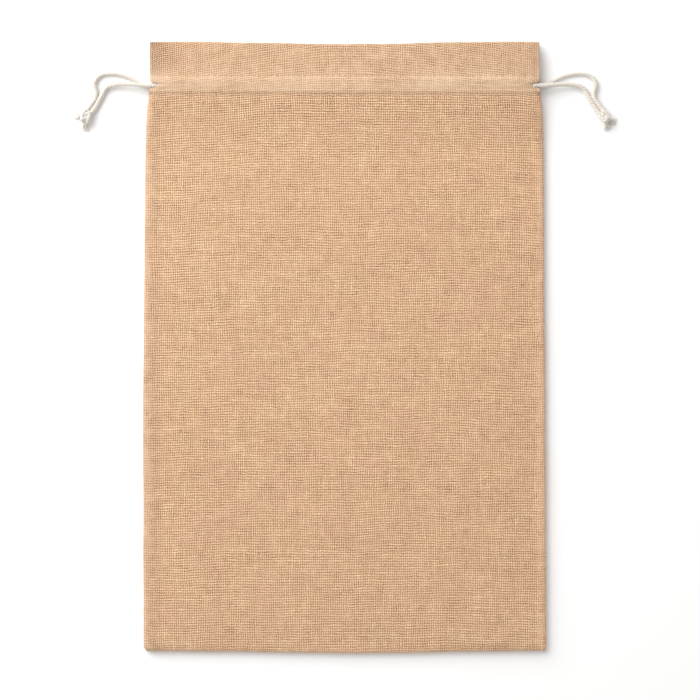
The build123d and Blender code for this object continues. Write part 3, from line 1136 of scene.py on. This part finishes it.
def make_edge_fibres():
    """Fibres along the sides, the bottom and the notches."""
    chance = random.Random(9)
    shapes = []
    for _ in range(150):
        side = chance.choice((-1, 1))
        y = chance.uniform(BOTTOM + 6.0, ROW_LOW - 3.0)
        x = side * (float(outline_half(y, side)) - 0.1)
        heading = 0.0 if side > 0 else math.pi
        shapes.append(stray(chance, (x, y), (2.4, 4.6), heading, 1.2, -0.1, (1.0, 3.2), 1.4, 0.06))
    for _ in range(70):
        x = chance.uniform(-FIBRE_REACH, FIBRE_REACH)
        y = at(bottom_edge, x) + 0.15
        shapes.append(stray(chance, (x, y), (2.4, 4.6), -math.pi / 2, 1.2, -0.1, (1.0, 2.6), 1.4, 0.06))
    for _ in range(46):
        side = chance.choice((-1, 1))
        y = chance.choice((chance.uniform(190.0, 192.8), chance.uniform(199.2, 202.0)))
        x = side * (float(outline_half(y, side)) - 0.4)
        heading = 0.0 if side > 0 else math.pi
        shapes.append(stray(chance, (x, y), (1.0, 3.4), heading, 0.8, 0.0, (1.2, 3.5), 1.0, 0.07))
    return new_mesh("edge_fibres", *join_shapes(shapes), "jute_fibre")


# ---- assembly

def settle(piece, node, body):
    """The piece stands in for a CAD node and rides on a body."""
    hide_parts(node)
    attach(piece, body)


def place_strand(which, end, route):
    """A free strand on its cord's body."""
    piece, centres = make_strand(f"{which}_{end}_strand", route, STRAND_THICKNESS[end])
    settle(piece, f"{which}_cord_{end}_strand", f"{which}_cord")
    return piece, centres


def place_cord(which, front_route, back_route):
    """Everything of one drawcord that shows, and its runs inside the channels."""
    side = -1 if which == "left" else 1
    body = f"{which}_cord"
    front_piece, front_line = place_strand(which, "front", front_route)
    back_piece, back_line = place_strand(which, "back", back_route)
    knot, centre = make_knot(f"{which}_knot", (front_line, back_line), f"{which}_cord_knot")
    settle(knot, f"{which}_cord_knot", body)
    for number, end in enumerate(("front", "back")):
        node = f"{which}_cord_{end}_tail"
        tail = make_tail(f"{which}_{end}_frayed_tail", centre, node, 40 + number + 2 * side)
        settle(tail, node, body)
    place_runs(which, side)


def place_runs(which, side):
    """The straight stretches of one drawcord inside the two channels, and its turn in the far notch."""
    for end, z, turning in (("front", FRONT_LANE_Z, -1.0), ("back", BACK_LANE_Z, 1.0)):
        run = make_run(f"{which}_{end}_run", side * NOTCH_X, side * SPLIT_X, FREE_LANE, z)
        middle = make_run(f"{which}_{end}_middle_run", side * (SPLIT_X - 0.6), side * 4.0, FREE_LANE, z)
        far = make_run(f"{which}_{end}_far_run", -side * NOTCH_X, -side * 4.0, FIXED_LANE, z, turning)
        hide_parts(f"{which}_cord_{end}_run")
        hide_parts(f"{which}_cord_{end}_middle")
        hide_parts(f"{which}_cord_{end}_far_run")
        if end == "front":
            split = (side * SPLIT_X * MM, 0, 0)
            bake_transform(run, f"{which}_cord", f"{which}_front_run", start=split, end=(0, 0, 0))
            blend_middle(middle)
            blend_middle(far)
        else:
            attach(run, f"{which}_cord")
            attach(middle, "pouch")
            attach(far, "pouch")
    settle(make_bight(f"{which}_bight", -side), f"{which}_cord_bight", "pouch")


def place_cloth():
    """Both panels and both hems."""
    sheets = (
        ("front_cloth", "front_panel", True, make_panel),
        ("back_cloth", "back_panel", False, make_panel),
        ("front_facing", "front_hem", True, make_hem),
        ("back_facing", "back_hem", False, make_hem),
    )
    for name, node, front, maker in sheets:
        piece = maker(name, front)
        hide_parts(node)
        if front:
            blend_middle(piece)
        else:
            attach(piece, "pouch")


def place_seams():
    """Allowances and all the stitching."""
    for which, side in (("left", -1), ("right", 1)):
        settle(make_side_seam(f"{which}_allowance", side), f"{which}_side_seam", "pouch")
    settle(make_bottom_seam("bottom_allowance"), "bottom_seam", "pouch")
    nodes = ("left_side_stitching", "right_side_stitching", "bottom_stitching")
    for piece, node in zip(make_seam_stitching(), nodes):
        settle(piece, node, "pouch")
    front = make_front_stitching()
    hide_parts("front_channel_stitching")
    blend_middle(front)
    settle(make_back_stitching(), "back_channel_stitching", "pouch")


def place_fibres():
    """Loose fibres, which go with the cloth that they stand on."""
    for piece in (make_face_fibres(), make_top_fibres()):
        blend_middle(piece)
    edge = make_edge_fibres()
    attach(edge, "pouch")


make_camera()
make_studio()
make_materials()
place_cord("left", LEFT_FRONT_ROUTE, LEFT_BACK_ROUTE)
place_cord("right", RIGHT_FRONT_ROUTE, RIGHT_BACK_ROUTE)
place_cloth()
place_seams()
place_fibres()
